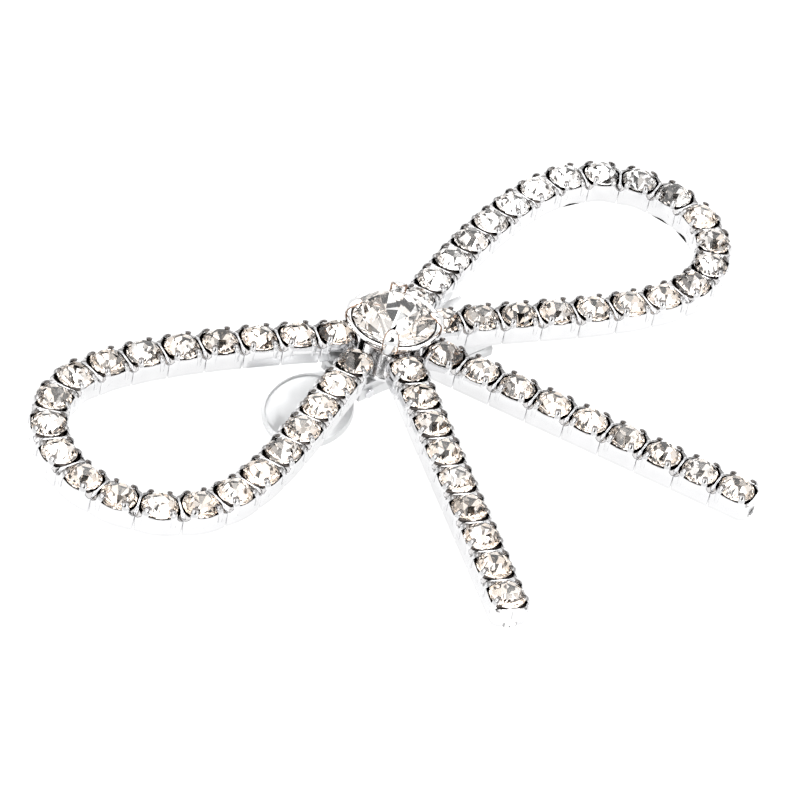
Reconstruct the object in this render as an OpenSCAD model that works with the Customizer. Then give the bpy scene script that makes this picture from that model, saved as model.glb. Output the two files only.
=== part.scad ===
// Bow brooch of rhinestone cup chain with a round centre stone and a spring clip on its back.
// X runs along the bow, -Y towards the tails, +Z out of the brooch's face.
// The origin lies on the gripping face of the clip's fixed plate, under the middle of the knot.
// All sizes are in millimetres.

/* [Chain] */
// Spacing of the stones along the chain
pitch = 3.4; // [3.3:0.05:3.6]
// Width of the chain across its cups
cup_w = 3.1; // [3.1:0.1:3.2]
// Height of a cup from its underside to its lip
cup_h = 1.9; // [1.7:0.1:2.2]
// Girdle diameter of a small stone
stone_d = 3; // [2.8:0.1:3]
// Height of a claw above the cup's lip
claw_h = 0.5; // [0.3:0.1:0.6]
// Radius of a claw
claw_r = 0.36; // [0.3:0.02:0.4]

/* [Bow] */
// Stones in each loop
loop_stones = 22; // [22]
// Stones in each tail
tail_stones = 9; // [6:1:10]
// Distance of a loop's first stone from the knot, along the chain
loop_start = 4.8; // [4.8:0.1:5.2]
// Distance of a tail's first stone from the knot
tail_start = 5.1; // [5:0.1:6]
// Angle of each tail from the bow's centre line
tail_angle = 23; // [20:1:28]
// Direction in which a loop's upper arm leaves the knot
upper_angle = 24; // [20:1:26]
// Direction in which a loop's lower arm leaves the knot
lower_angle = 10; // [8:1:14]
// How far the arms keep the direction in which they leave the knot
arm_pull = 7.5; // [6:0.5:9]
// Distance from the knot to the end of the left loop
left_reach = 34; // [33:0.5:35]
// Distance from the knot to the end of the right loop
right_reach = 34.3; // [33:0.5:35]
// Depth of the left loop's round end below its middle
left_drop = 9; // [7.5:0.1:9.5]
// Depth of the right loop's round end below its middle
right_drop = 7.9; // [7.5:0.1:9.5]
// Height of both round ends above their middle
loop_rise = 8.9; // [8:0.1:9.5]

/* [Centre stone] */
// Girdle diameter of the centre stone
centre_d = 7.1; // [6.8:0.1:7.3]
// Height of the centre stone's girdle above the chain's lips
centre_lift = 1.3; // [1.2:0.1:1.6]

/* [Clip] */
// Width of the clip's fixed plate
plate_w = 5; // [4.6:0.1:5.4]
// Distance from the knot to the clip's nose
nose_x = 10.2; // [9.5:0.1:11]
// Thickness of the clip's sheet metal
sheet = 0.4; // [0.35:0.05:0.45]
// Depth of the fixed plate's side flanges
flange_depth = 1.2; // [1.2:0.1:1.4]
// Distance from the knot to the jaw's pivot
pivot_x = 3.8; // [3.6:0.1:4]
// Diameter of the pivot pin
pin_d = 0.7; // [0.6:0.05:0.7]
// Diameter of the jaw's thumb paddle
paddle_d = 7.8; // [7:0.1:8]
// Distance from the pivot to the middle of the thumb paddle
paddle_reach = 4.7; // [4.7:0.1:5.6]
// Slope of the thumb lever below the bow at rest
lever_slope = 19; // [17:1:21]
// Slope of the jaw below the fixed plate at rest
jaw_slope = 5; // [4.5:0.1:5.3]

/* [Hidden] */
$fn = 48;

// Levels, from the gripping face of the fixed plate up
plate_top = 0.5;
disc_top = 0.9;
chain_z = disc_top;
lip_z = chain_z + cup_h;
centre_z = lip_z + centre_lift;

// Chain details
cup_gap = 0.06;       // open joint between neighbouring cups
stone_r = stone_d / 2;
crown_h = 0.6;
table_r = 0.8;
pavilion_h = 1.1;
girdle_h = 0.1;
claw_along = 1.12;    // claws stand this far from the stone along the chain
claw_across = 1.14;   // and this far across it
root_w = 2.2;         // width of an arm's end face where it tucks under the centre setting
link_l = 2.8;
link_w = 1;
link_h = 0.4;
end_bulge_x = 25.7;   // middle of a loop's round end
end_pull = 7.5;       // how far the round end's direction reaches into the arms
loop_mid_y = -0.4;    // height of the loops' middle line

// Stones of a loop: upper arm, round end and lower arm
upper_last = 6;
end_last = 14;
loop_last = loop_stones - 1;

// Clip details
flange_t = 0.45;
pivot_z = -0.7;
pin_clear = 0.05;
plate_left = -5.4;
neck_w = 3.6;
neck_drop = 0.45;     // the jaw's sheet passes this far below the pivot
wire_d = 0.26;
leg_d = 0.22;         // the spring's legs are drawn a little finer than its coil
coil_r = 0.52;
coil_turns = 7;
toe_l = 3.2;
toe_h = 1.08;
tooth = 0.35;

// ---- Centre lines ----

function bezier(a, b, c, d, t) =
    pow(1 - t, 3) * a + 3 * pow(1 - t, 2) * t * b + 3 * (1 - t) * t * t * c + t * t * t * d;

function arm(angle, end_y, t) =
    bezier([0, 0], arm_pull * [cos(angle), sin(angle)],
           [end_bulge_x - end_pull, end_y], [end_bulge_x, end_y], t);

// A loop leaves the knot along its upper arm, turns round its end and comes back below
function loop_line(reach, drop) = concat(
    [for (i = [0:40]) arm(upper_angle, loop_mid_y + loop_rise, i / 40)],
    [for (a = [86:-4:0]) [end_bulge_x + (reach - end_bulge_x) * cos(a), loop_mid_y + loop_rise * sin(a)]],
    [for (a = [-4:-4:-86]) [end_bulge_x + (reach - end_bulge_x) * cos(a), loop_mid_y + drop * sin(a)]],
    [for (i = [40:-1:0]) arm(-lower_angle, loop_mid_y - drop, i / 40)]);

function run_lengths(line) =
    [for (i = 0, s = 0; i < len(line); i = i + 1, s = s + (i < len(line) ? norm(line[i] - line[i - 1]) : 0)) s];

function place(line, lengths, s) =
    [for (k = [0, 1]) lookup(s, [for (i = [0:len(line) - 1]) [lengths[i], line[i][k]]])];

// Stone places, one pitch apart, with one more place beyond each end of the chain
function places(line, lengths, start, count) =
    [for (i = [-1:count]) place(line, lengths, start + i * pitch)];

right_line = loop_line(right_reach, right_drop);
left_line = [for (p = loop_line(left_reach, left_drop)) [-p[0], p[1]]];
right_places = places(right_line, run_lengths(right_line), loop_start, loop_stones);
left_places = places(left_line, run_lengths(left_line), loop_start, loop_stones);
right_tail_places = [for (i = [-1:tail_stones]) (tail_start + i * pitch) * [sin(tail_angle), -cos(tail_angle)]];
left_tail_places = [for (p = right_tail_places) [-p[0], p[1]]];

function heading(a, b) = atan2(b[1] - a[1], b[0] - a[0]);
function across(a, b) = [a[1] - b[1], b[0] - a[0]] / norm(b - a);

// ---- Chain ----

// Plan of the cup at place k: its ends face the neighbours half-way, and its middle is the stone's
module cup_plan(p, k, w_in, w_out) {
    bend = (2 * p[k] - p[k - 1] - p[k + 1]) / 4;
    a = (p[k - 1] + p[k]) / 2 + bend;
    b = (p[k] + p[k + 1]) / 2 + bend;
    na = across(p[k - 1], p[k]);
    nb = across(p[k], p[k + 1]);
    da = (p[k] - p[k - 1]) / pitch * cup_gap / 2;
    db = (p[k + 1] - p[k]) / pitch * cup_gap / 2;
    polygon([a + da - na * w_in / 2, b - db - nb * w_out / 2,
             b - db + nb * w_out / 2, a + da + na * w_in / 2]);
}

module stone(r, crown, table, girdle, pavilion) {
    rotate_extrude()
        polygon([[0, -pavilion], [0.15, -pavilion], [r, -girdle / 2], [r, girdle / 2], [table, crown], [0, crown]]);
}

module small_stone(p, k) {
    translate([p[k][0], p[k][1], lip_z]) stone(stone_r, crown_h, table_r, girdle_h, pavilion_h);
}

module link(p, k) {
    middle = (p[k] + p[k + 1]) / 2;
    translate([middle[0], middle[1], chain_z + link_h / 2])
        rotate([0, 0, heading(p[k], p[k + 1])])
            cube([link_l, link_w, link_h], center = true);
}

// A cup with four claws at its corners, a seat for the stone and slots for its links
module cup(p, k, w_in = cup_w, w_out = cup_w) {
    difference() {
        union() {
            translate([0, 0, chain_z]) linear_extrude(cup_h) cup_plan(p, k, w_in, w_out);
            intersection() {
                translate([0, 0, chain_z]) linear_extrude(cup_h + claw_h) cup_plan(p, k, w_in, w_out);
                translate([p[k][0], p[k][1], lip_z - 0.2])
                    rotate([0, 0, heading(p[k - 1], p[k + 1])])
                        for (x = [-claw_along, claw_along], y = [-claw_across, claw_across])
                            translate([x, y, 0]) cylinder(r = claw_r, h = claw_h + 0.2, $fn = 24);
            }
        }
        small_stone(p, k);
        translate([p[k][0], p[k][1], lip_z - 1.25]) cylinder(r1 = 0.5, r2 = stone_r, h = 1.25);
        link(p, k - 1);
        link(p, k);
    }
}

module cups(p, first, last) {
    color("silver")
        for (i = [first:last])
            cup(p, i + 1, i == 0 ? root_w : cup_w, i == loop_last ? root_w : cup_w);
}

module stones(p, first, last) {
    color("whitesmoke") for (i = [first:last]) small_stone(p, i + 1);
}

// Links bridge each pair of cups; a tail keeps the stub of one more link in its end face
module links(p, count, stub) {
    color("gainsboro") {
        for (i = [1:count - 1]) link(p, i);
        if (stub) intersection() {
            link(p, count);
            translate([p[count][0], p[count][1], chain_z])
                rotate([0, 0, heading(p[count - 1], p[count])])
                    translate([0, -link_w, 0]) cube([pitch / 2 + 0.35, 2 * link_w, link_h]);
        }
    }
}

module left_loop_upper_cups() { cups(left_places, 0, upper_last); }
module left_loop_end_cups() { cups(left_places, upper_last + 1, end_last); }
module left_loop_lower_cups() { cups(left_places, end_last + 1, loop_last); }
module right_loop_upper_cups() { cups(right_places, 0, upper_last); }
module right_loop_end_cups() { cups(right_places, upper_last + 1, end_last); }
module right_loop_lower_cups() { cups(right_places, end_last + 1, loop_last); }
module left_tail_cups() { cups(left_tail_places, 0, tail_stones - 1); }
module right_tail_cups() { cups(right_tail_places, 0, tail_stones - 1); }

module left_loop_upper_stones() { stones(left_places, 0, upper_last); }
module left_loop_end_stones() { stones(left_places, upper_last + 1, end_last); }
module left_loop_lower_stones() { stones(left_places, end_last + 1, loop_last); }
module right_loop_upper_stones() { stones(right_places, 0, upper_last); }
module right_loop_end_stones() { stones(right_places, upper_last + 1, end_last); }
module right_loop_lower_stones() { stones(right_places, end_last + 1, loop_last); }
module left_tail_stones() { stones(left_tail_places, 0, tail_stones - 1); }
module right_tail_stones() { stones(right_tail_places, 0, tail_stones - 1); }

module left_loop_links() { links(left_places, loop_stones, false); }
module right_loop_links() { links(right_places, loop_stones, false); }
module left_tail_links() { links(left_tail_places, tail_stones, true); }
module right_tail_links() { links(right_tail_places, tail_stones, true); }

// ---- Knot ----

// Round disc that joins the six arms to the clip's plate
module knot_disc() {
    color("silver") translate([0, 0, plate_top]) cylinder(r = 4.2, h = disc_top - plate_top);
}

module centre_stone() {
    color("whitesmoke") translate([0, 0, centre_z]) stone(centre_d / 2, 1.2, 2.1, 0.15, 2.75);
}

// Open setting: a foot on the disc, a seat ring under the girdle and four broad claws
module centre_setting() {
    r = centre_d / 2;
    color("silver") difference() {
        union() {
            rotate_extrude()
                polygon([[1.9, disc_top], [2.3, disc_top], [2.3, centre_z - 1.4], [2.8, centre_z - 0.8],
                         [r + 0.35, centre_z - 0.35], [r + 0.35, centre_z], [r - 0.3, centre_z],
                         [2.1, centre_z - 1.2], [1.9, centre_z - 1.5]]);
            for (a = [45:90:315])
                rotate([0, 0, a]) translate([r - 0.25, -0.6, centre_z - 0.5]) cube([0.85, 1.2, 1.3]);
        }
        centre_stone();
    }
}

// ---- Clip ----

module tooth_row(x, z, up) {
    for (i = [-2:2])
        translate([x - 1, i * 0.8, z]) rotate([90, 0, 90])
            linear_extrude(2) polygon([[-tooth, 0], [tooth, 0], [0, up * tooth]]);
}

// Fixed plate: a channel with side flanges, a toothed nose and holes for the pivot pin
module clip_plate() {
    hw = plate_w / 2;
    color("silver") difference() {
        union() {
            translate([plate_left, -hw, 0]) cube([nose_x - plate_left, plate_w, plate_top]);
            for (y = [-hw, hw - flange_t])
                translate([-pivot_x - 1.1, y, -flange_depth])
                    cube([nose_x + pivot_x + 1.1, flange_t, flange_depth]);
            translate([nose_x - flange_t, -hw, -flange_depth]) cube([flange_t, plate_w, flange_depth]);
        }
        tooth_row(nose_x, -flange_depth, 1);
        translate([-pivot_x, 0, pivot_z]) rotate([90, 0, 0]) cylinder(d = pin_d, h = plate_w + 2, center = true);
    }
}

// Riveted pin through both flanges
module pivot_pin() {
    color("gainsboro") translate([-pivot_x, 0, pivot_z]) rotate([90, 0, 0]) {
        cylinder(d = pin_d, h = plate_w, center = true);
        for (side = [-1, 1])
            translate([0, 0, side * (plate_w / 2 + 0.1)]) cylinder(r = 0.45, h = 0.2, center = true);
    }
}

// Coil round the pin, with the leg that presses up on the fixed plate
module clip_spring() {
    step = wire_d + 0.01;
    last_y = (coil_turns - 1) / 2 * step;
    color("gray") translate([-pivot_x, 0, pivot_z]) {
        for (i = [0:coil_turns - 1])
            translate([0, i * step - last_y, 0]) rotate([90, 0, 0])
                rotate_extrude($fn = 32) translate([coil_r, 0]) circle(d = wire_d, $fn = 16);
        translate([0, last_y, coil_r]) rotate([0, -90, 0]) cylinder(d = leg_d, h = 1.5, $fn = 24);
    }
}

// Leg that presses down on the thumb lever; it moves with the jaw
module spring_lever_leg() {
    color("gray") translate([-pivot_x, 0, pivot_z]) rotate([0, -lever_slope, 0])
        translate([-0.9, -0.8, sheet / 2 - neck_drop + leg_d / 2 + 0.02]) rotate([0, -90, 0])
            cylinder(d = leg_d, h = 2.4, $fn = 24);
}

// Jaw: one stamping with a toothed toe, a neck with two ears on the pin, and a thumb paddle
module clip_jaw() {
    neck_l = nose_x - toe_l + pivot_x + 0.2;
    color("silver") translate([-pivot_x, 0, pivot_z]) difference() {
        union() {
            rotate([0, jaw_slope, 0])
                translate([-0.6, -neck_w / 2, -neck_drop - sheet / 2]) cube([neck_l + 0.6, neck_w, sheet]);
            rotate([0, -lever_slope, 0]) {
                translate([-paddle_reach, -neck_w / 2, -neck_drop - sheet / 2]) cube([paddle_reach, neck_w, sheet]);
                translate([-paddle_reach, 0, -neck_drop - sheet / 2]) cylinder(d = paddle_d, h = sheet, $fn = 96);
                translate([-paddle_reach, 0, -neck_drop + sheet / 2]) difference() {
                    cylinder(d = paddle_d, h = 0.2, $fn = 96);
                    translate([0, 0, -1]) cylinder(d = paddle_d - 0.7, h = 2, $fn = 96);
                    translate([0, -neck_w / 2, -1]) cube([paddle_d, neck_w, 2]);
                }
            }
            for (y = [-neck_w / 2, neck_w / 2 - flange_t])
                translate([0, y, 0]) rotate([-90, 0, 0]) cylinder(r = 0.62, h = flange_t);
            translate([nose_x + pivot_x - toe_l, -plate_w / 2, -toe_h - flange_depth - 0.08 - pivot_z])
                difference() {
                    cube([toe_l, plate_w, toe_h]);
                    translate([-1, flange_t, sheet]) cube([toe_l + 1 - flange_t, plate_w - 2 * flange_t, toe_h]);
                    tooth_row(toe_l, toe_h, -1);
                }
        }
        translate([-1.2, -neck_w / 2 + flange_t, -2]) cube([2.4, neck_w - 2 * flange_t, 3]);
        rotate([90, 0, 0]) cylinder(r = pin_d / 2 + pin_clear, h = plate_w, center = true);
    }
}

left_loop_upper_cups();
left_loop_end_cups();
left_loop_lower_cups();
right_loop_upper_cups();
right_loop_end_cups();
right_loop_lower_cups();
left_tail_cups();
right_tail_cups();
left_loop_upper_stones();
left_loop_end_stones();
left_loop_lower_stones();
right_loop_upper_stones();
right_loop_end_stones();
right_loop_lower_stones();
left_tail_stones();
right_tail_stones();
left_loop_links();
right_loop_links();
left_tail_links();
right_tail_links();
knot_disc();
centre_setting();
centre_stone();
clip_plate();
pivot_pin();
clip_spring();
spring_lever_leg();
clip_jaw();
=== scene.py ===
"""Looks of the bow brooch: claw-set cup chain, centre stone and spring clip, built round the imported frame.

Shapes are worked out in millimetres in the part's own frame and turned into metres when a mesh is made.
"""
import math
import random

import bmesh
import bpy
from mathutils import Euler, Matrix, Vector


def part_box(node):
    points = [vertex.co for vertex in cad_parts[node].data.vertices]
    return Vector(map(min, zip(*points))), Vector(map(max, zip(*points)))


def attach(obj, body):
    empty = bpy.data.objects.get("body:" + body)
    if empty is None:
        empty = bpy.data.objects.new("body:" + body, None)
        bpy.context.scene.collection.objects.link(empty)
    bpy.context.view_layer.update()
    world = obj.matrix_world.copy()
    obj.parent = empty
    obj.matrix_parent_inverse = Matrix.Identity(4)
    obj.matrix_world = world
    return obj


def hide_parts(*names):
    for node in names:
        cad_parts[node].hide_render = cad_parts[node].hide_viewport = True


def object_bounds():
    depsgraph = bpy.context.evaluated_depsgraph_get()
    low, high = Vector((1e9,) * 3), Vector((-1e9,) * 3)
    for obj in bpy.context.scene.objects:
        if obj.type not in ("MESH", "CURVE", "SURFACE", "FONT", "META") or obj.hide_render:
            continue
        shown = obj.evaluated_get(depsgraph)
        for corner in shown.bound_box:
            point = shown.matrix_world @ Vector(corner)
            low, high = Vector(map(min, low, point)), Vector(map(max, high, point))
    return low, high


MM = 0.001
TURN = 2 * math.pi
WELD = 0.002 * MM     # the frame's vertices closer than this are one
CHAIN_SEED = 11
CENTRE_SEED = 5

# Chain, in millimetres, as the part's source has it
CUP_W = 3.1
CUP_H = 1.9
CUP_GAP = 0.02
CLAW_RISE = 0.5
ROOT_W = 2.2
STONE_R = 1.5
LINK_W = 1.0
LINK_H = 0.4

BLACK = (0, 0, 0)
WHITE = (1, 1, 1)

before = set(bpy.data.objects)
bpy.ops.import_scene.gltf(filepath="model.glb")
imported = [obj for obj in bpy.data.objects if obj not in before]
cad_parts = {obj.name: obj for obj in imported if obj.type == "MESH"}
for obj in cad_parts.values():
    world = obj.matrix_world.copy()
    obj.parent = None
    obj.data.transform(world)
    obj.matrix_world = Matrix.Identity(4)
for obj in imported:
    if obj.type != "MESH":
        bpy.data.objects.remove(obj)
cad_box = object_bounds()
rng = random.Random(CHAIN_SEED)


def box_mm(node):
    low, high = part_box(node)
    return low / MM, high / MM


LIP_Z = box_mm("left_tail_cups")[1].z - CLAW_RISE
CHAIN_Z = LIP_Z - CUP_H
TOE_SWING = 0.0066   # the open jaw's toe drops this far, in metres, and the table lies clear of it
FLOOR_Z = min(p[2] for p in cad_box) - TOE_SWING


# ---- Meshes ----


class Shape:
    """Vertices and faces in millimetres, with one material number and a few named values per face."""

    def __init__(self):
        self.points = []
        self.faces = []
        self.materials = []
        self.values = {"tone": [], "warm": []}

    def face(self, corners, material=0, tone=1.0, warm=0.0):
        self.faces.append(tuple(corners))
        self.materials.append(material)
        self.values["tone"].append(tone)
        self.values["warm"].append(warm)

    def add(self, points):
        first = len(self.points)
        self.points.extend(Vector(p) for p in points)
        return list(range(first, len(self.points)))

    def loft(self, rings, material=0, tones=None, warm=0.0, cap_start=True, cap_end=True):
        """Skin over rings of points of the same count; tones holds one value per band."""
        loops = [self.add(ring) for ring in rings]
        tones = tones or [1.0] * (len(rings) - 1)
        count = len(loops[0])
        for low, high, tone in zip(loops, loops[1:], tones):
            for i in range(count):
                j = (i + 1) % count
                self.face((low[i], low[j], high[j], high[i]), material, tone, warm)
        if cap_start:
            self.face(reversed(loops[0]), material, tones[0], warm)
        if cap_end:
            self.face(loops[-1], material, tones[-1], warm)

    def join(self, other, place):
        """Copy another shape in, each of its points moved by the function place."""
        first = len(self.points)
        self.points.extend(place(p) for p in other.points)
        for corners, material, tone, warm in zip(
            other.faces, other.materials, other.values["tone"], other.values["warm"]
        ):
            self.face([first + c for c in corners], material, tone, warm)

    def build(self, name, materials, body, replaces, smooth_angle=None):
        mesh = bpy.data.meshes.new(name)
        mesh.from_pydata([p * MM for p in self.points], [], self.faces)
        for material in materials:
            mesh.materials.append(material)
        mesh.polygons.foreach_set("material_index", self.materials)
        for key, values in self.values.items():
            mesh.attributes.new(key, "FLOAT", "FACE").data.foreach_set("value", values)
        mesh.validate()
        if smooth_angle is not None:
            mesh.shade_smooth()
            mesh.set_sharp_from_angle(angle=math.radians(smooth_angle))
        piece = bpy.data.objects.new(name, mesh)
        bpy.context.scene.collection.objects.link(piece)
        return settle(piece, body, replaces)


def settle(piece, body, replaces):
    """Hand a finished piece to its body and the CAD nodes that it stands for."""
    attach(piece, body)
    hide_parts(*replaces)
    return piece


def circle(radius, z, count, start=0.0):
    angles = [start + TURN * i / count for i in range(count)]
    return [Vector((radius * math.cos(a), radius * math.sin(a), z)) for a in angles]


def turned(profile, count, start=0.0):
    """Rings of a turned profile, a list of (radius, height)."""
    return [circle(radius, z, count, start) for radius, z in profile]


def swept(path, sides, half_w, half_t, across):
    """Rings of an elliptical section along a path; half_w and half_t are per path point."""
    rings = []
    for i, p in enumerate(path):
        ahead = (path[min(i + 1, len(path) - 1)] - path[max(i - 1, 0)]).normalized()
        thick = ahead.cross(across).normalized()
        ring = []
        for k in range(sides):
            a = TURN * k / sides
            ring.append(p + across * (half_w[i] * math.cos(a)) + thick * (half_t[i] * math.sin(a)))
        rings.append(ring)
    return rings


# ---- Materials ----


def material(name):
    mat = bpy.data.materials.new(name)
    mat.use_nodes = True
    tree = mat.node_tree
    return mat, tree, tree.nodes["Principled BSDF"]


def link(tree, source, target):
    tree.links.new(source, target)


def noise(tree, scale, detail=3.0, stretch=(1, 1, 1)):
    """Noise in object space; scale is in features per metre."""
    where = tree.nodes.new("ShaderNodeTexCoord")
    mapping = tree.nodes.new("ShaderNodeMapping")
    mapping.inputs["Scale"].default_value = stretch
    pattern = tree.nodes.new("ShaderNodeTexNoise")
    pattern.inputs["Scale"].default_value = scale
    pattern.inputs["Detail"].default_value = detail
    link(tree, where.outputs["Object"], mapping.inputs["Vector"])
    link(tree, mapping.outputs["Vector"], pattern.inputs["Vector"])
    return pattern.outputs["Fac"]


def spread(tree, value, low, high):
    """Map a 0..1 value onto low..high."""
    node = tree.nodes.new("ShaderNodeMapRange")
    node.inputs["To Min"].default_value = low
    node.inputs["To Max"].default_value = high
    link(tree, value, node.inputs["Value"])
    return node.outputs["Result"]


def grey(value):
    return (value, value, value)


def blend_colours(tree, amount, first, second):
    node = tree.nodes.new("ShaderNodeMix")
    node.data_type = "RGBA"
    link(tree, amount, node.inputs["Factor"])
    for socket, value in ((node.inputs["A"], first), (node.inputs["B"], second)):
        if isinstance(value, tuple):
            socket.default_value = (*value, 1)
        else:
            link(tree, value, socket)
    return node.outputs["Result"]


def ramp(tree, value, *stops):
    """Colour ramp between two (position, colour) stops."""
    node = tree.nodes.new("ShaderNodeValToRGB")
    for element, (position, colour) in zip(node.color_ramp.elements, stops):
        element.position = position
        element.color = (*colour, 1)
    link(tree, value, node.inputs["Fac"])
    return node.outputs["Color"]


def face_value(tree, name):
    node = tree.nodes.new("ShaderNodeAttribute")
    node.attribute_name = name
    return node.outputs["Fac"]


def bump(tree, shader, height, strength, distance):
    node = tree.nodes.new("ShaderNodeBump")
    node.inputs["Strength"].default_value = strength
    node.inputs["Distance"].default_value = distance
    link(tree, height, node.inputs["Height"])
    link(tree, node.outputs["Normal"], shader.inputs["Normal"])


def plating(name, bright, dull, rough, grain=(1, 1, 1), recess=(0.035, 0.024, 0.018)):
    """Silver plating: cloudy tone and polish, fine grain, and a dark recess colour where the face value tone
    falls towards 0, which paints shade in hollows, gaps, under rims and on bent claw tips, and the dark line
    of a seam.
    """
    mat, tree, shader = material(name)
    clouds = noise(tree, 700, 2)
    metal = blend_colours(tree, clouds, dull, bright)
    # the recess colour, mixed in by tone, is painted shade, and on the tails' free ends also a seam's dark
    # line
    link(tree, blend_colours(tree, face_value(tree, "tone"), recess, metal), shader.inputs["Base Color"])
    shader.inputs["Metallic"].default_value = 1
    link(tree, spread(tree, clouds, rough * 0.7, rough * 1.3), shader.inputs["Roughness"])
    bump(tree, shader, noise(tree, 5200, 4, grain), 0.12, 0.00003)
    return mat


def crystal(name, tint):
    """Clear lead glass of the crown, with the faintest polishing haze."""
    mat, tree, shader = material(name)
    shader.inputs["Transmission Weight"].default_value = 1
    shader.inputs["IOR"].default_value = 1.58
    haze = noise(tree, 1500, 2)
    link(tree, blend_colours(tree, haze, tint, WHITE), shader.inputs["Base Color"])
    link(tree, spread(tree, haze, 0.0, 0.03), shader.inputs["Roughness"])
    return mat


# colour of the foil facets painted dark, a painted reflection standing in for the dark surroundings seen
# inside a cut stone
FOIL_BLACK = (0.012, 0.010, 0.009)


def foil(name, cool, warm):
    """Mirror foil seen through the glass; each facet has its own warmth, and a tone of painted reflection
    from black to bright.
    """
    mat, tree, shader = material(name)
    tinted = blend_colours(tree, face_value(tree, "warm"), cool, warm)
    shown = blend_colours(tree, face_value(tree, "tone"), FOIL_BLACK, tinted)
    link(tree, shown, shader.inputs["Base Color"])
    shader.inputs["Metallic"].default_value = 1
    link(tree, spread(tree, noise(tree, 2500, 2), 0.02, 0.09), shader.inputs["Roughness"])
    return mat


def lacquer(name, colour, shade):
    """Brown lacquer that protects the foil from behind."""
    mat, tree, shader = material(name)
    cloud = noise(tree, 2200, 3)
    link(tree, blend_colours(tree, cloud, shade, colour), shader.inputs["Base Color"])
    link(tree, spread(tree, cloud, 0.3, 0.5), shader.inputs["Roughness"])
    bump(tree, shader, cloud, 0.2, 0.00002)
    return mat


SILVER = plating("silver_plating", (0.87, 0.87, 0.875), (0.78, 0.78, 0.79), 0.14)
# the setting's brown recess colour is its painted shade, under the seat, inside the ring and round the claws
SETTING_SILVER = plating("setting_plating", (0.9, 0.9, 0.9), (0.8, 0.8, 0.8), 0.09, recess=(0.2, 0.1, 0.045))
LINK_SILVER = plating("link_plating", (0.9, 0.9, 0.9), (0.8, 0.8, 0.81), 0.2)
CLIP_SILVER = plating("clip_plating", (0.77, 0.775, 0.78), (0.7, 0.705, 0.71), 0.42, (1, 6, 1))
PIN_STEEL = plating("pin_steel", (0.82, 0.82, 0.84), (0.72, 0.72, 0.74), 0.22, (1, 8, 1))
SPRING_STEEL = plating("spring_steel", (0.66, 0.66, 0.68), (0.54, 0.54, 0.56), 0.26, (1, 8, 1))
SMALL_GLASS = crystal("small_crystal_glass", (0.99, 0.985, 0.975))
CENTRE_GLASS = crystal("centre_crystal_glass", (0.99, 0.98, 0.96))
FOIL = foil("stone_foil", (0.98, 0.98, 0.98), (0.93, 0.82, 0.72))
LACQUER = lacquer("foil_lacquer", (0.10, 0.055, 0.03), (0.03, 0.018, 0.012))


# ---- Stones ----

FACETS = 8
GIRDLE = 0.1          # height of a stone's upright edge

# Shares of the girdle's radius (table, deep_share) and heights in millimetres (crown, pavilion)
SMALL_CUT = {"table": 0.5, "crown": 0.8, "pavilion": 1.15, "deep_share": 0.7, "fine": False}
CENTRE_CUT = {"table": 0.58, "pavilion": 2.75, "deep_share": 0.4, "fine": True}
# warmth of the centre stone's foil, and the share of its facets painted dark as reflections
CENTRE_TINT = (0.25, 0.12)
STONE_RISE = 0.03     # a small stone's girdle above the cups' lip
MAX_TILT = 0.05       # of a small stone in its cup, in radians


def foil_tone(dark_share, draw):
    """Painted reflection on the foil: most facets mirror brightly; the rest are painted from black to
    half-bright, standing in for the dark reflections inside a cut stone.
    """
    return 1.0 if draw.random() > dark_share else draw.uniform(0.02, 0.65)


def lacquer_skin(stone, radius, pavilion, waist, depth, start):
    """Thin closed skin behind the foil, through a ring of radius waist at the given depth."""
    outer = [(radius - 0.01, -GIRDLE / 2 - 0.03), (radius + 0.01, -GIRDLE / 2 - 0.02)]
    outer += [(waist + 0.04, -depth - 0.03), (0.03, -pavilion - 0.05)]
    inner = [(0.02, -pavilion - 0.02), (waist + 0.015, -depth - 0.015)]
    stone.loft(turned(outer + inner + [outer[0]], 2 * FACETS, start), 2, cap_start=False, cap_end=False)


def cut_stone(radius, table, crown, pavilion, deep_share, fine, tint, draw):
    """Foil-backed stone: glass crown, foil pavilion in two tiers (material 1), lacquer skin (material 2).

    A fine cut has star facets round its table; a plain one has eight broad crown facets and eight corners.
    """
    stone = Shape()
    warm, dark_share = tint
    deep_z = pavilion * (1 - deep_share) * 1.12
    half_step = math.pi / FACETS
    turn = 0 if fine else half_step / 2

    # each foil facet gets its own warmth and a tone of painted reflection
    def foil_face(corners):
        warmth = min(1, max(0, warm + draw.uniform(-0.4, 0.4)))
        stone.face(corners, 1, foil_tone(dark_share, draw), warmth)

    top = stone.add(circle(radius * table, crown, FACETS))
    star = []
    if fine:
        star = stone.add(circle(radius * ((1 + table) / 2 + 0.03), crown * 0.56, FACETS, half_step))
    upper = stone.add(circle(radius, GIRDLE / 2, 2 * FACETS, turn))
    lower = stone.add(circle(radius, -GIRDLE / 2, 2 * FACETS, turn))
    deep = stone.add(circle(radius * deep_share, -deep_z, FACETS, turn + half_step))
    culet = stone.add([Vector((0, 0, -pavilion))])[0]
    stone.face(top)
    for i in range(FACETS):
        j = (i + 1) % FACETS
        before = (i - 1) % FACETS
        edge, middle, far = 2 * i, 2 * i + 1, (2 * i + 2) % (2 * FACETS)
        if fine:
            stone.face((top[i], star[i], top[j]))
            stone.face((top[i], star[before], upper[edge]))
            stone.face((top[i], upper[edge], star[i]))
            stone.face((star[i], upper[edge], upper[middle]))
            stone.face((star[i], upper[middle], upper[far]))
        else:
            stone.face((top[i], upper[edge], upper[middle], top[j]))
            stone.face((top[j], upper[middle], upper[far]))
        stone.face((upper[edge], lower[edge], lower[middle], upper[middle]))
        stone.face((upper[middle], lower[middle], lower[far], upper[far]))
        foil_face((deep[i], lower[middle], lower[edge]))
        foil_face((deep[i], lower[far], lower[middle]))
        foil_face((deep[before], deep[i], lower[edge]))
        foil_face((deep[i], deep[before], culet))
    lacquer_skin(stone, radius, pavilion, radius * (deep_share + 0.01), deep_z, turn)
    return stone


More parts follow.
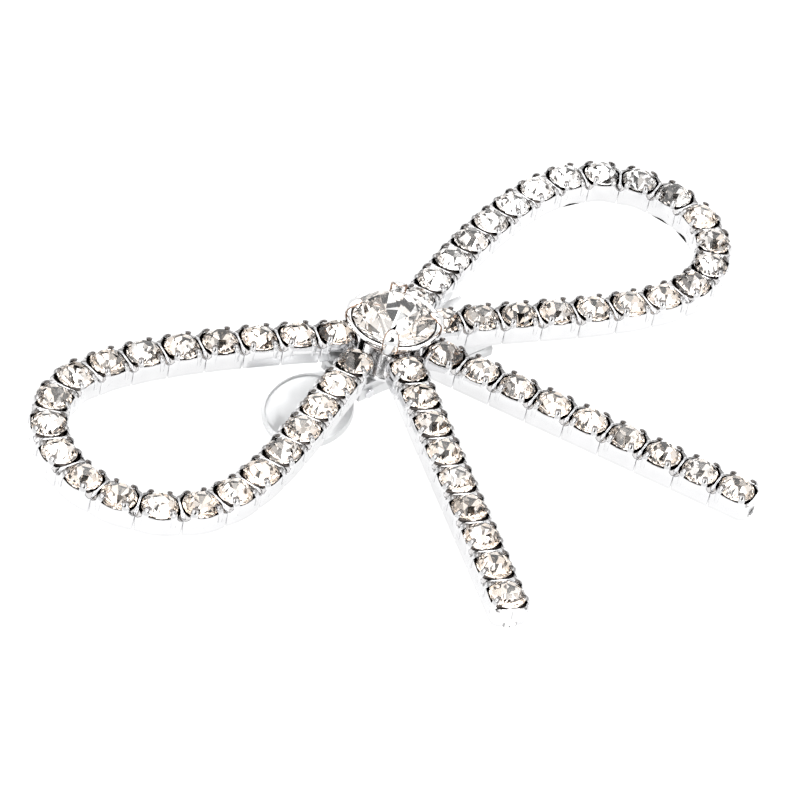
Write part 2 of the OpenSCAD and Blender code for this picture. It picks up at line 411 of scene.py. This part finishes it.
def islands(node):
    """Plan centre of each separate solid of a CAD node, in millimetres."""
    work = bmesh.new()
    work.from_mesh(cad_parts[node].data)
    bmesh.ops.remove_doubles(work, verts=work.verts, dist=WELD)
    centres = []
    seen = set()
    for start in work.verts:
        if start.index in seen:
            continue
        stack = [start]
        seen.add(start.index)
        solid = []
        while stack:
            v = stack.pop()
            solid.append(v.co / MM)
            for e in v.link_edges:
                w = e.other_vert(v)
                if w.index not in seen:
                    seen.add(w.index)
                    stack.append(w)
        xs = [p.x for p in solid]
        ys = [p.y for p in solid]
        centres.append(Vector(((min(xs) + max(xs)) / 2, (min(ys) + max(ys)) / 2)))
    work.free()
    return centres


def walk(nodes):
    """Stone places of some nodes in the order of the chain, starting at the knot."""
    here = Vector((0, 0))
    route = []
    for node in nodes:
        left = islands(node)
        places = []
        while left:
            here = min(left, key=lambda p: (p - here).length)
            left.remove(here)
            places.append(here)
        route.append(places)
    return route


# ---- Cups ----

CORNER = 0.16         # radius of a cup's upright corners
FREE_CORNER = 0.75    # and at the free end of a tail
BORE_CORNER = 0.95    # and inside
CORNER_STEPS = 4
SIDE_STEPS = 12
WALL = 0.09
PANEL_LIP = 1.78      # height of the lip in the middle of a side
NOTCH_LIP = 1.6       # and at a corner, outside the claws
END_LIP = 1.88        # and in the middle of an end, between the stones
NOTCH_TONE = 0.35     # painted shade in the gaps between the claws of neighbouring cups
CLAW_IN = 0.62        # distance of a claw from the end of its cup
FLOOR_IN_CUP = 0.5
SMALLEST_CUP = 0.985  # width of the narrowest cup, as a share of the widest
MAX_LEAN = 0.009      # sideways lean of a cup per millimetre of height
CLAW_SIDES = 10

# Marks on a free end, as (half width, low, high, tone): the stamping's seam, and a dark plate of painted
# shade where the slot round the cut link lies
SEAM = (0.025, 0.45, 1.6, 0.7)
SLOT_SHADE = (0.57, 0.04, 0.45, 0.5)


def smooth(low, high, value):
    t = min(1.0, max(0.0, (value - low) / (high - low)))
    return t * t * (3 - 2 * t)


def outline(half_l, half_w, corner, end_corner=None):
    """Rounded rectangle as (point, outward direction) pairs, anticlockwise from its (+X, -Y) corner."""
    result = []
    corners = [(1, -1), (1, 1), (-1, 1), (-1, -1)]
    radii = {1: end_corner or corner, -1: corner}

    def on_corner(sx, sy, out):
        radius = radii[sx]
        return Vector((sx * (half_l - radius), sy * (half_w - radius))) + radius * out

    for n, (sx, sy) in enumerate(corners):
        first = math.atan2(sy, sx) - math.pi / 4
        for k in range(CORNER_STEPS + 1):
            a = first + math.pi / 2 * k / CORNER_STEPS
            out = Vector((math.cos(a), math.sin(a)))
            result.append((on_corner(sx, sy, out), out))
        start = result[-1][0]
        end = on_corner(*corners[(n + 1) % 4], out)
        for k in range(1, SIDE_STEPS):
            result.append((start.lerp(end, k / SIDE_STEPS), out))
    return result


def cup_shape(half_l, free):
    """One cup with its lip dipping between the claws: x runs along the chain and z up from its floor."""
    cup = Shape()
    half_w = CUP_W / 2
    edge = outline(half_l, half_w, CORNER, FREE_CORNER if free else CORNER)
    bore = outline(half_l - WALL, half_w - WALL, BORE_CORNER)

    def lip(p):
        """Full height at a claw, lower along the side, lowest at a corner and high between the stones."""
        claw_x = half_l - CLAW_IN
        if abs(p.x) > claw_x + 0.45:
            return END_LIP + (NOTCH_LIP - END_LIP) * smooth(0.5, 0.8, abs(p.y) / half_w)
        up = (CUP_H - PANEL_LIP) * smooth(claw_x - 0.45, claw_x - 0.2, abs(p.x))
        down = (CUP_H - NOTCH_LIP) * smooth(claw_x + 0.1, claw_x + 0.4, abs(p.x))
        return PANEL_LIP + up - down

    def ring(inset, height, shape=edge):
        points = []
        for p, out in shape:
            q = p - inset * out
            points.append(Vector((q.x, q.y, height(p) if callable(height) else height)))
        return points

    rings = [
        ring(0.3, 0.0),
        ring(0.06, 0.05),
        ring(0.03, 0.3),
        ring(0.01, 0.85),
        ring(0.0, 1.0),
        ring(0.0, lambda p: lip(p) - 0.05),
        ring(0.03, lip),
        ring(-0.03, lip, bore),
        ring(0.0, lambda p: lip(p) - 0.05, bore),
        ring(0.03, lambda p: lip(p) - 0.3, bore),
        ring(0.1, FLOOR_IN_CUP, bore),
    ]
    # Tones per band: slightly darker at the foot, and in the bore painted shade that deepens to near black
    # at the floor under the stone
    cup.loft(rings, tones=[0.9, 0.95, 1, 1, 1, 1, 1, 0.75, 0.3, 0.05])
    darken_notches(cup, half_l, half_w)
    if free:
        end_mark(cup, half_l, *SEAM)
        end_mark(cup, half_l, *SLOT_SHADE)
    for sx in (-1, 1):
        for sy in (-1, 1):
            claw(cup, sx, sy, half_l)
    return cup


def darken_notches(cup, half_l, half_w):
    """Painted shade in the narrow gaps between the claws of neighbouring cups."""
    for n, corners in enumerate(cup.faces):
        middle = sum((cup.points[c] for c in corners), Vector()) / len(corners)
        beside = 0.7 * half_w < abs(middle.y) < half_w - 0.015
        if middle.z > 1.4 and beside and abs(middle.x) > half_l - CLAW_IN + 0.3:
            cup.values["tone"][n] = NOTCH_TONE


def end_mark(cup, x, half_w, low, high, tone):
    """Thin dark plate on the free end of a tail, for the seam's dark line and for the painted shade of the
    slot.
    """
    corners = ((-half_w, low), (half_w, low), (half_w, high), (-half_w, high))
    cup.loft([[Vector((x + step, y, z)) for y, z in corners] for step in (-0.03, 0.006)], tones=[tone])


def claw(cup, sx, sy, half_l):
    """A prong that runs up the wall beside a corner and bends over the stone's crown."""
    x = half_l - CLAW_IN
    half_w = CUP_W / 2
    path = [
        (x, half_w - 0.08, 0.8),
        (x, half_w - 0.01, 1.0),
        (x, half_w, 1.6),
        (x - 0.02, half_w - 0.05, 1.95),
        (x - 0.08, half_w - 0.19, 2.2),
        (x - 0.16, half_w - 0.4, 2.38),
        (x - 0.24, half_w - 0.58, 2.46),
        (x - 0.28, half_w - 0.66, 2.46),
    ]
    path = [Vector((sx * px, sy * py, pz)) for px, py, pz in path]
    across = Vector((0.93 * sx, -0.36 * sy, 0)).normalized()
    half_widths = [0.12, 0.2, 0.22, 0.25, 0.27, 0.26, 0.2, 0.05]
    half_thick = [0.04, 0.08, 0.1, 0.11, 0.12, 0.12, 0.1, 0.03]
    rings = swept(path, CLAW_SIDES, half_widths, half_thick, across)
    if sx * sy > 0:
        rings = [list(reversed(r)) for r in rings]
    # The bent-over tip fades to near black, painted shade where the claw folds over the stone's crown
    cup.loft(rings, tones=[1, 1, 1, 0.95, 0.45, 0.12, 0.08])


def chain(side, kind, sections):
    """Cups and stones of one loop or tail; sections are (cups node, stones node) pairs in chain order."""
    routes = walk([stones for _, stones in sections])
    line = [p for places in routes for p in places]
    closed = kind == "loop"
    before = line[0] * 2 - line[1]
    after = line[-1] * 2 - line[-2]
    line = [before] + line + [after]
    k = 1
    for (cups_node, stones_node), places in zip(sections, routes):
        cups = Shape()
        stones = Shape()
        for _ in places:
            first = k == 1 and closed
            last = k == len(line) - 2
            w_in = ROOT_W / CUP_W if first else 1
            w_out = ROOT_W / CUP_W if last and closed else 1
            put_cup(cups, line, k, w_in, w_out, last and not closed)
            put_stone(stones, line, k, side, kind)
            k += 1
        cups.build(cups_node + "_plated", [SILVER], "brooch", [cups_node], 40)
        layers = [SMALL_GLASS, FOIL, LACQUER]
        stones.build(stones_node + "_cut", layers, "brooch", [stones_node])
    return line


def put_cup(cups, line, k, w_in, w_out, free):
    """Bend one cup to the chain: its end faces lie about half-way to the neighbours."""
    a = (line[k - 1] + line[k]) / 2
    b = (line[k] + line[k + 1]) / 2
    a += (line[k] - a).normalized() * CUP_GAP / 2
    b += (line[k] - b).normalized() * CUP_GAP / 2
    middle = line[k]
    na = (line[k] - line[k - 1]).orthogonal().normalized()
    nb = (line[k + 1] - line[k]).orthogonal().normalized()
    half_l = (b - a).length / 2
    size = rng.uniform(SMALLEST_CUP, 1.0)
    lean = rng.uniform(-MAX_LEAN, MAX_LEAN)

    def place(p):
        u = p.x / half_l
        centre = a * (u * (u - 1) / 2) + middle * (1 - u * u) + b * (u * (u + 1) / 2)
        out = na.lerp(nb, (u + 1) / 2).normalized()
        width = w_in + (w_out - w_in) * (u + 1) / 2
        q = centre + out * (p.y * width * size + lean * p.z)
        return Vector((q.x, q.y, CHAIN_Z + p.z))

    cups.join(cup_shape(half_l, free), place)


def put_stone(stones, line, k, side, kind):
    shape = cut_stone(STONE_R, tint=stone_tint(side, kind, line[k]), draw=rng, **SMALL_CUT)
    lean_x = rng.uniform(-MAX_TILT, MAX_TILT)
    lean_y = rng.uniform(-MAX_TILT, MAX_TILT)
    tilt = Euler((lean_x, lean_y, rng.uniform(0, TURN))).to_matrix()
    seat = Vector((line[k].x, line[k].y, LIP_Z + STONE_RISE))
    stones.join(shape, lambda p: seat + tilt @ p)


def stone_tint(side, kind, place):
    """Warmth of the foil and the share of facets painted dark as reflections, which drift along the bow."""
    if kind == "tail":
        return (0.8, 0.12) if side == "left" else (0.7, 0.2)
    if side == "left":
        return (0.8, 0.12) if place.y < 0 else (0.6, 0.17)
    return (0.65, 0.2) if place.y < 0 else (0.2, 0.2)


def loop_sections(side):
    names = [f"{side}_loop_{part}" for part in ("upper", "end", "lower")]
    return [(name + "_cups", name + "_stones") for name in names]


lines = {}
for side in ("left", "right"):
    lines[side, "loop"] = chain(side, "loop", loop_sections(side))
    lines[side, "tail"] = chain(side, "tail", [(f"{side}_tail_cups", f"{side}_tail_stones")])


# ---- Links ----


JOIN_LENGTH = 2.6     # strap between two cups
STUB_LENGTH = 1.2     # and the cut one at a tail's end
STUB_IN = 0.2         # the stub's middle lies this far inside the end face
LINK_DROP = 0.02      # the straps stand this far below the cups' floors
STRAP_EDGE = 0.06
STRAP_STEPS = 8


def strap(length):
    """A link's strap with round ends and soft edges, along x from its middle."""
    half = LINK_W / 2
    shape = Shape()
    rings = []
    for inset, z in ((STRAP_EDGE, 0.0), (0.0, STRAP_EDGE), (0.0, LINK_H - STRAP_EDGE), (STRAP_EDGE, LINK_H)):
        points = []
        for side in (1, -1):
            for i in range(STRAP_STEPS + 1):
                a = math.pi * (i / STRAP_STEPS - 0.5)
                r = side * (half - inset)
                points.append(Vector((side * (length / 2 - half) + r * math.cos(a), r * math.sin(a), z)))
        rings.append(points)
    shape.loft(rings)
    return shape


def lay_strap(shape, middle, ahead, length):
    turn = Matrix.Rotation(math.atan2(ahead.y, ahead.x), 3, "Z")
    base = Vector((middle.x, middle.y, CHAIN_Z - LINK_DROP))
    shape.join(strap(length), lambda p: base + turn @ p)


def build_links(side, kind):
    line = lines[side, kind]
    shape = Shape()
    for a, b in zip(line[1:-2], line[2:-1]):
        lay_strap(shape, (a + b) / 2, b - a, JOIN_LENGTH)
    if kind == "tail":
        a, b = line[-2:]
        ahead = (b - a).normalized()
        lay_strap(shape, (a + b) / 2 - ahead * STUB_IN, ahead, STUB_LENGTH)
    node = f"{side}_{kind}_links"
    shape.build(node + "_plated", [LINK_SILVER], "brooch", [node], 40)


for side, kind in lines:
    build_links(side, kind)


# ---- Knot ----

CENTRE_R = 3.55
CENTRE_TURN = 0.2     # of the stone in its setting, in radians
CLAW_ANGLES = [math.radians(a) for a in (45, 135, 225, 315)]


def centre_stone():
    low, high = box_mm("centre_stone")
    girdle_z = low.z + CENTRE_CUT["pavilion"]
    draw = random.Random(CENTRE_SEED)
    shape = cut_stone(CENTRE_R, crown=high.z - girdle_z, tint=CENTRE_TINT, draw=draw, **CENTRE_CUT)
    cut = Shape()
    turn = Matrix.Rotation(CENTRE_TURN, 3, "Z")
    cut.join(shape, lambda p: Vector((0, 0, girdle_z)) + turn @ p)
    cut.build("centre_stone_cut", [CENTRE_GLASS, FOIL, LACQUER], "brooch", ["centre_stone"])
    return girdle_z


def centre_setting(girdle_z):
    """Turned seat ring on a foot, with a rolled rim and four broad claws over the crown."""
    shape = Shape()
    foot_z = box_mm("centre_setting")[0].z
    profile = [(1.9, foot_z), (2.86, foot_z), (2.92, foot_z + 0.06), (2.92, girdle_z - 1.5)]
    profile += [(3.0, girdle_z - 1.2), (3.3, girdle_z - 0.85), (3.7, girdle_z - 0.5)]
    profile += [(3.88, girdle_z - 0.36), (3.98, girdle_z - 0.22), (3.95, girdle_z - 0.06)]
    profile += [(3.8, girdle_z - 0.01), (3.64, girdle_z - 0.05), (3.56, girdle_z - 0.14)]
    inner = [(3.2, girdle_z - 0.5), (2.1, girdle_z - 1.35), (1.9, girdle_z - 1.6), (1.9, foot_z)]
    # Tones per band: the underside of the flared seat and the inside of the ring are painted shade, under
    # the rim and in the hollow
    tones = [1, 1, 0.95, 0.6, 0.3, 0.1, 0.5, 1, 1, 1, 1, 1, 0.6, 0.15, 0.1, 0.1]
    shape.loft(turned(profile + inner, 96), tones=tones, cap_start=False, cap_end=False)
    for angle in CLAW_ANGLES:
        big_claw(shape, angle, girdle_z)
    node = "centre_setting"
    shape.build(node + "_plated", [SETTING_SILVER], "brooch", [node], 40)


def big_claw(shape, angle, girdle_z):
    """A broad claw bent over the crown, with a slightly larger dark copy just behind it whose rim shows all
    round it as a painted shadow outline.
    """
    heights = [-1.3, -1.15, -0.75, -0.3, 0.15, 0.5, 0.78, 0.98, 1.1, 1.13]
    radii = [3.5, 3.6, 3.85, 4.02, 4.06, 3.98, 3.74, 3.4, 3.06, 2.92]
    half_widths = [0.2, 0.42, 0.56, 0.62, 0.64, 0.64, 0.6, 0.5, 0.3, 0.08]
    half_thick = [0.06, 0.12, 0.18, 0.21, 0.22, 0.22, 0.21, 0.18, 0.12, 0.03]
    out = Vector((math.cos(angle), math.sin(angle), 0))
    across = Vector((-out.y, out.x, 0))
    path = [out * r + Vector((0, 0, girdle_z + h)) for r, h in zip(radii, heights)]
    shape.loft([list(reversed(r)) for r in swept(path, 16, half_widths, half_thick, across)])
    # a slightly larger dark copy behind the claw, painted shadow that outlines it
    behind = [p - out * 0.03 for p in path]
    wider = [w + 0.07 for w in half_widths]
    thinner = [0.6 * t for t in half_thick]
    edge = swept(behind, 16, wider, thinner, across)
    shape.loft([list(reversed(r)) for r in edge], tones=[0.1] * (len(path) - 1))


def knot_disc():
    low, high = box_mm("knot_disc")
    r = high.x
    profile = [(r - 0.1, low.z), (r, low.z + 0.08), (r, high.z - 0.08), (r - 0.08, high.z)]
    shape = Shape()
    shape.loft(turned(profile, 96))
    shape.build("knot_disc_plated", [LINK_SILVER], "brooch", ["knot_disc"], 40)


centre_setting(centre_stone())
knot_disc()


# ---- Clip ----


EDGE_BREAK = 0.05


def eased(node, finish, body):
    """A stamping from the frame's own shape, with its edges broken as tumbling leaves them."""
    work = bmesh.new()
    work.from_mesh(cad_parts[node].data)
    bmesh.ops.remove_doubles(work, verts=work.verts, dist=WELD)
    bmesh.ops.dissolve_limit(work, angle_limit=math.radians(1), verts=work.verts, edges=work.edges)
    sharp = [e for e in work.edges if len(e.link_faces) == 2 and e.calc_face_angle() > math.radians(30)]
    bmesh.ops.bevel(work, geom=sharp, offset=EDGE_BREAK * MM, segments=2, affect="EDGES", clamp_overlap=True)
    mesh = bpy.data.meshes.new(node + "_eased")
    work.to_mesh(mesh)
    work.free()
    mesh.materials.clear()
    mesh.materials.append(finish)
    tone = mesh.attributes.new("tone", "FLOAT", "FACE")
    tone.data.foreach_set("value", [1.0] * len(mesh.polygons))
    mesh.shade_smooth()
    mesh.set_sharp_from_angle(angle=math.radians(35))
    piece = bpy.data.objects.new(node + "_eased", mesh)
    bpy.context.scene.collection.objects.link(piece)
    return settle(piece, body, [node])


eased("clip_plate", CLIP_SILVER, "brooch")
eased("clip_jaw", CLIP_SILVER, "jaw")

WIRE_R = 0.13
COIL_R = 0.52
COIL_TURNS = 7
COIL_STEPS = 20       # points in one turn
COIL_GAP = 0.01
WIRE_FIT = 0.98       # drawn wire, as a share of the node's thickness
LEG_STEP = 0.5
LEG_SINK = 0.2        # the lever's leg lies this share of its radius nearer the lever


def pivot_pin():
    """Pin with domed, peened heads outside the flanges."""
    low, high = box_mm("pivot_pin")
    middle = (low + high) / 2
    half = (high.y - low.y) / 2
    profile = [(0.35, 0.0), (0.35, half - 0.2), (0.45, half - 0.19), (0.45, half - 0.1)]
    profile += [(0.4, half - 0.04), (0.28, half - 0.01), (0.1, half)]
    full = [(r, -z) for r, z in reversed(profile)] + profile[1:]
    rings = [[Vector((p.x, p.z, -p.y)) + middle for p in ring] for ring in turned(full, 32)]
    shape = Shape()
    shape.loft(rings)
    shape.build("pivot_pin_peened", [PIN_STEEL], "brooch", ["pivot_pin"], 40)
    return middle


def spring(middle):
    """One wire: the close coil round the pin and the leg on the fixed plate."""
    pitch = 2 * WIRE_R + COIL_GAP
    half = (COIL_TURNS - 1) / 2 * pitch
    steps = COIL_STEPS * (COIL_TURNS - 1)
    path = []
    for i in range(steps + 1):
        a = math.pi / 2 - TURN * i / COIL_STEPS
        y = -half + pitch * i / COIL_STEPS
        path.append(middle + Vector((COIL_R * math.cos(a), y, COIL_R * math.sin(a))))
    path += [path[-1] + Vector((-LEG_STEP * (k + 1), 0, 0)) for k in range(3)]
    shape = Shape()
    shape.loft(tube(path, WIRE_R * WIRE_FIT, 10))
    shape.build("clip_spring_wound", [SPRING_STEEL], "brooch", ["clip_spring"], 60)


def lever_leg():
    """The wire's other leg, which lies on the thumb lever and moves with the jaw; its end is cut square."""
    low, high = box_mm("spring_lever_leg")
    r = (high.y - low.y) / 2
    slope = math.atan2(high.z - low.z - 2 * r, high.x - low.x)
    ahead = Vector((-math.cos(slope), 0, -math.sin(slope)))
    above = Vector((-math.sin(slope), 0, math.cos(slope)))
    start = Vector((high.x, low.y + r, high.z - r)) - above * r * LEG_SINK
    length = (high.x - low.x) / math.cos(slope) - 2 * r * math.tan(slope)
    path = [start + ahead * length * k / 6 for k in range(7)]
    shape = Shape()
    shape.loft(tube(path, r * WIRE_FIT, 12))
    shape.build("spring_lever_leg_drawn", [SPRING_STEEL], "jaw", ["spring_lever_leg"], 60)


def tube(path, radius, sides):
    """Rings of a round wire along a path, kept from twisting."""
    side_way = Vector((0, 1, 0))
    rings = []
    for i, p in enumerate(path):
        ahead = (path[min(i + 1, len(path) - 1)] - path[max(i - 1, 0)]).normalized()
        up = ahead.cross(side_way).normalized()
        side_way = up.cross(ahead).normalized()
        rings.append([
            p + side_way * (radius * math.cos(TURN * k / sides)) + up * (radius * math.sin(TURN * k / sides))
            for k in range(sides)
        ])
    return rings


spring(pivot_pin())
lever_leg()


# ---- Floor, light and camera ----


TABLE_HALF = 1.2      # metres, as all below
TABLE_GAP = 0.00002
TABLE_GLOW = 0.68


def floor():
    """A pale table with a faint paper grain, which glows a little so that it shows no shadow."""
    mesh = bpy.data.meshes.new("table_top")
    half = TABLE_HALF
    corners = [(-half, -half), (half, -half), (half, half), (-half, half)]
    mesh.from_pydata([(x, y, FLOOR_Z - TABLE_GAP) for x, y in corners], [], [(0, 1, 2, 3)])
    mat, tree, shader = material("pale_table")
    grain = noise(tree, 300, 3)
    link(tree, blend_colours(tree, grain, grey(0.29), grey(0.31)), shader.inputs["Base Color"])
    shader.inputs["Roughness"].default_value = 0.9
    shader.inputs["Specular IOR Level"].default_value = 0.1
    shader.inputs["Emission Color"].default_value = (1, 1, 1, 1)
    shader.inputs["Emission Strength"].default_value = TABLE_GLOW
    mesh.materials.append(mat)
    table = bpy.data.objects.new("table_top", mesh)
    bpy.context.scene.collection.objects.link(table)


def area_light(name, place, size, power, target=(0, 0, 0)):
    lamp = bpy.data.lights.new(name, "AREA")
    lamp.shape = "RECTANGLE"
    lamp.size, lamp.size_y = size
    lamp.energy = power
    holder = bpy.data.objects.new(name, lamp)
    holder.location = place
    holder.rotation_euler = (Vector(target) - Vector(place)).to_track_quat("-Z", "Y").to_euler()
    bpy.context.scene.collection.objects.link(holder)


DARK_CARD = Vector((-0.42, -0.39, 0.82))   # the way to a dark panel among the soft boxes


def studio():
    """White surroundings that darken overhead, where soft boxes stand in the dark."""
    world = bpy.data.worlds.new("studio")
    bpy.context.scene.world = world
    world.use_nodes = True
    tree = world.node_tree
    where = tree.nodes.new("ShaderNodeTexCoord").outputs["Generated"]
    parts = tree.nodes.new("ShaderNodeSeparateXYZ")
    link(tree, where, parts.inputs["Vector"])
    cards = tree.nodes.new("ShaderNodeTexNoise")
    cards.inputs["Scale"].default_value = 2.4
    cards.inputs["Detail"].default_value = 0
    link(tree, where, cards.inputs["Vector"])
    ceiling = ramp(tree, cards.outputs["Fac"], (0.34, grey(0.05)), (0.41, grey(2.8)))
    card = tree.nodes.new("ShaderNodeVectorMath")
    card.operation = "DOT_PRODUCT"
    card.inputs[1].default_value = DARK_CARD
    link(tree, where, card.inputs[0])
    in_card = ramp(tree, card.outputs["Value"], (0.9, BLACK), (0.93, WHITE))
    ceiling = blend_colours(tree, in_card, ceiling, grey(0.03))
    height = ramp(tree, parts.outputs["Z"], (0.5, BLACK), (0.6, WHITE))
    shown = blend_colours(tree, height, WHITE, ceiling)
    link(tree, shown, tree.nodes["Background"].inputs["Color"])
    tree.nodes["Background"].inputs["Strength"].default_value = 1.0
    area_light("key_box", (-0.5, -0.1, 0.75), (0.45, 0.45), 1.6)
    area_light("fill_box", (0.6, 0.35, 0.6), (0.35, 0.5), 1.0)
    area_light("front_box", (0.05, -0.75, 0.5), (0.5, 0.25), 0.8)
    bpy.context.scene.view_settings.view_transform = "Standard"


# The photograph looks down at 40 degrees from the left of the tails, and the brooch lies a little tilted
CAMERA_TURN = math.radians(-47.7)
CAMERA_DOWN = math.radians(40.05)
CAMERA_ROLL = math.radians(12.2)
CAMERA_DISTANCE = 0.43
CAMERA_LENS = 231.4
CAMERA_SENSOR = 36
AIM_RIGHT = 0.00063   # the camera aims this far to the right of the knot
AIM_DOWN = 0.00617    # and this far below it, in the picture
KNOT = Vector((0, 0, 0.0032))


def camera():
    ahead = Vector((
        -math.sin(CAMERA_TURN) * math.cos(CAMERA_DOWN),
        math.cos(CAMERA_TURN) * math.cos(CAMERA_DOWN),
        -math.sin(CAMERA_DOWN),
    ))
    level = Vector((math.cos(CAMERA_TURN), math.sin(CAMERA_TURN), 0))
    upright = level.cross(ahead)
    right = level * math.cos(CAMERA_ROLL) + upright * math.sin(CAMERA_ROLL)
    up = upright * math.cos(CAMERA_ROLL) - level * math.sin(CAMERA_ROLL)
    target = KNOT + AIM_RIGHT * right - AIM_DOWN * up
    data = bpy.data.cameras.new("camera")
    data.lens = CAMERA_LENS
    data.sensor_width = CAMERA_SENSOR
    data.clip_start = 0.01
    holder = bpy.data.objects.new("camera", data)
    axes = Matrix((right, up, -ahead)).transposed().to_4x4()
    holder.matrix_world = Matrix.Translation(target - ahead * CAMERA_DISTANCE) @ axes
    bpy.context.scene.collection.objects.link(holder)
    bpy.context.scene.camera = holder


floor()
studio()
camera()
